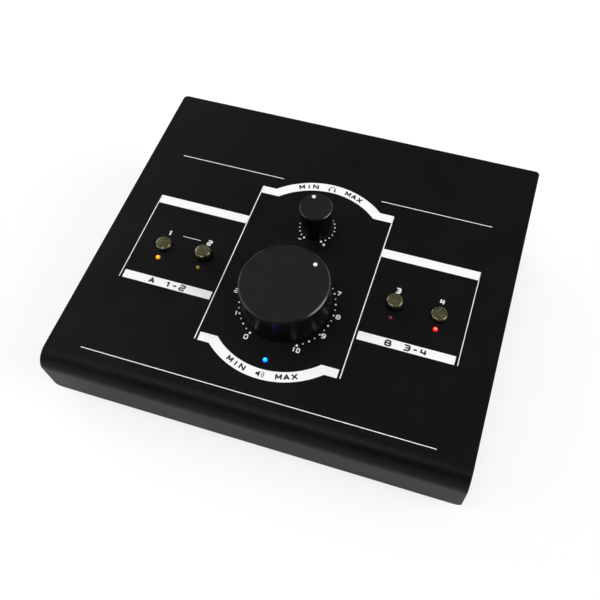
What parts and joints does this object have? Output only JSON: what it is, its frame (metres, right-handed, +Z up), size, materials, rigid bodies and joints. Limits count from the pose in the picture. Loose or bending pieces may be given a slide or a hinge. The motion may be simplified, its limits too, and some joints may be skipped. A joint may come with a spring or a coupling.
{
  "type": "studio monitor controller",
  "caption": "Desktop studio monitor controller: sloping black wrap-over cover, large volume knob, small headphone knob, latching push buttons, indicator lamps and rear sockets.",
  "frame": {"origin": "on the surface it stands on, under the middle of the whole controller", "axes": "+X to the right of the person using it, +Y to the rear, where the sockets are, +Z up"},
  "size_m": [0.275, 0.2378, 0.0878],
  "materials": {
    "cover_coating": "satin black coated aluminium sheet, fine grain",
    "chassis_coating": "black powder-coated steel, fine texture",
    "plated_steel": "zinc-plated steel",
    "black_screws": "black-finished steel",
    "rubber": "black moulded rubber",
    "board_laminate": "green glass-fibre circuit board",
    "ribbon_insulation": "grey ribbon cable insulation",
    "moulded_black": "black moulded plastic",
    "socket_nut_chrome": "bright nickel plate",
    "knob_anodised": "black anodised turned aluminium",
    "button_black": "glossy black plastic",
    "cap_smoky": "smoky olive metallised plastic, domed",
    "lamp_amber_on": "amber lamp lens, lit",
    "lamp_amber_off": "amber lamp lens, unlit",
    "lamp_red_on": "red lamp lens, lit",
    "lamp_red_off": "red lamp lens, unlit",
    "lamp_blue_on": "blue lamp lens, lit",
    "capacitor_sleeve": "dark blue shrink sleeve",
    "relay_case": "off-white relay case",
    "trimmer_blue": "blue moulded plastic",
    "rotor_white": "white moulded plastic"
  },
  "bodies": {
    "base": {"top_cover": "cover_coating", "chassis_tray": "chassis_coating", "rear_panel": "chassis_coating", "cover_brackets": "plated_steel", "main_standoffs": "plated_steel", "control_standoffs": "plated_steel", "board_screws": "plated_steel", "volume_pot_body": "plated_steel", "headphone_pot_body": "plated_steel", "pot_nuts": "plated_steel", "dsub_shells": "plated_steel", "dsub_jackscrews": "plated_steel", "case_screws": "black_screws", "foot_screws": "black_screws", "rubber_feet": "rubber", "main_board": "board_laminate", "control_board": "board_laminate", "ribbon_cable": "ribbon_insulation", "ribbon_headers": "moulded_black", "button_switches": "moulded_black", "lamp_spacers": "moulded_black", "power_switch_body": "moulded_black", "dc_inlet": "moulded_black", "dsub_cores": "moulded_black", "phones_socket": "moulded_black", "aux_sockets": "moulded_black", "amplifier_chips": "moulded_black", "regulators": "moulded_black", "socket_nuts": "socket_nut_chrome", "stereo_lamp": "lamp_amber_on", "sub_lamp": "lamp_amber_off", "dim_lamp": "lamp_red_on", "mute_lamp": "lamp_red_off", "power_lamp": "lamp_blue_on", "capacitors": "capacitor_sleeve", "relays": "relay_case", "trimmer_bodies": "trimmer_blue"},
    "volume": {"volume_knob": "knob_anodised", "volume_shaft": "plated_steel", "volume_grub_screw": "black_screws"},
    "headphone": {"headphone_knob": "knob_anodised", "headphone_shaft": "plated_steel", "headphone_grub_screw": "black_screws"},
    "stereo_push": {"stereo_button": "button_black", "stereo_cap": "cap_smoky"},
    "sub_push": {"sub_button": "button_black", "sub_cap": "cap_smoky"},
    "mute_push": {"mute_button": "button_black", "mute_cap": "cap_smoky"},
    "dim_push": {"dim_button": "button_black", "dim_cap": "cap_smoky"},
    "rocker": {"power_rocker": "moulded_black"},
    "trimmer_1": {"trimmer_rotor_1": "rotor_white"},
    "trimmer_2": {"trimmer_rotor_2": "rotor_white"},
    "trimmer_3": {"trimmer_rotor_3": "rotor_white"},
    "trimmer_4": {"trimmer_rotor_4": "rotor_white"},
    "trimmer_5": {"trimmer_rotor_5": "rotor_white"},
    "trimmer_6": {"trimmer_rotor_6": "rotor_white"},
    "trimmer_7": {"trimmer_rotor_7": "rotor_white"},
    "trimmer_8": {"trimmer_rotor_8": "rotor_white"}
  },
  "joints": [
    {"name": "volume_turn", "type": "hinge", "parent": "base", "child": "volume", "pos_m": [0, -0.03716, 0.05484], "axis": [0, 0.1392, -0.9903], "range_deg": [-188.6, 111.4]},
    {"name": "headphone_turn", "type": "hinge", "parent": "base", "child": "headphone", "pos_m": [0, 0.02513, 0.06359], "axis": [0, 0.1392, -0.9903], "range_deg": [-123, 177]},
    {"name": "stereo_press", "type": "slide", "parent": "base", "child": "stereo_push", "axis": [0, -0.1392, 0.9903], "range_m": [-0.0005, 0.0025]},
    {"name": "sub_press", "type": "slide", "parent": "base", "child": "sub_push", "axis": [0, -0.1392, 0.9903], "range_m": [-0.003, 0], "stiffness_N_per_m": 300, "springref_m": 0.001},
    {"name": "mute_press", "type": "slide", "parent": "base", "child": "mute_push", "axis": [0, -0.1392, 0.9903], "range_m": [-0.003, 0], "stiffness_N_per_m": 300, "springref_m": 0.001},
    {"name": "dim_press", "type": "slide", "parent": "base", "child": "dim_push", "axis": [0, -0.1392, 0.9903], "range_m": [-0.0005, 0.0025]},
    {"name": "rocker_tilt", "type": "hinge", "parent": "base", "child": "rocker", "pos_m": [0.0953, 0.11045, 0.042], "axis": [1, 0, 0], "range_deg": [-16, 0]},
    {"name": "trimmer_1_turn", "type": "hinge", "parent": "base", "child": "trimmer_1", "pos_m": [-0.0875, 0.05295, 0.009], "axis": [0, 0, -1], "range_deg": [-135, 135]},
    {"name": "trimmer_2_turn", "type": "hinge", "parent": "base", "child": "trimmer_2", "pos_m": [-0.0625, 0.05295, 0.009], "axis": [0, 0, -1], "range_deg": [-135, 135]},
    {"name": "trimmer_3_turn", "type": "hinge", "parent": "base", "child": "trimmer_3", "pos_m": [-0.0375, 0.05295, 0.009], "axis": [0, 0, -1], "range_deg": [-135, 135]},
    {"name": "trimmer_4_turn", "type": "hinge", "parent": "base", "child": "trimmer_4", "pos_m": [-0.0125, 0.05295, 0.009], "axis": [0, 0, -1], "range_deg": [-135, 135]},
    {"name": "trimmer_5_turn", "type": "hinge", "parent": "base", "child": "trimmer_5", "pos_m": [0.0125, 0.05295, 0.009], "axis": [0, 0, -1], "range_deg": [-135, 135]},
    {"name": "trimmer_6_turn", "type": "hinge", "parent": "base", "child": "trimmer_6", "pos_m": [0.0375, 0.05295, 0.009], "axis": [0, 0, -1], "range_deg": [-135, 135]},
    {"name": "trimmer_7_turn", "type": "hinge", "parent": "base", "child": "trimmer_7", "pos_m": [0.0625, 0.05295, 0.009], "axis": [0, 0, -1], "range_deg": [-135, 135]},
    {"name": "trimmer_8_turn", "type": "hinge", "parent": "base", "child": "trimmer_8", "pos_m": [0.0875, 0.05295, 0.009], "axis": [0, 0, -1], "range_deg": [-135, 135]}
  ]
}
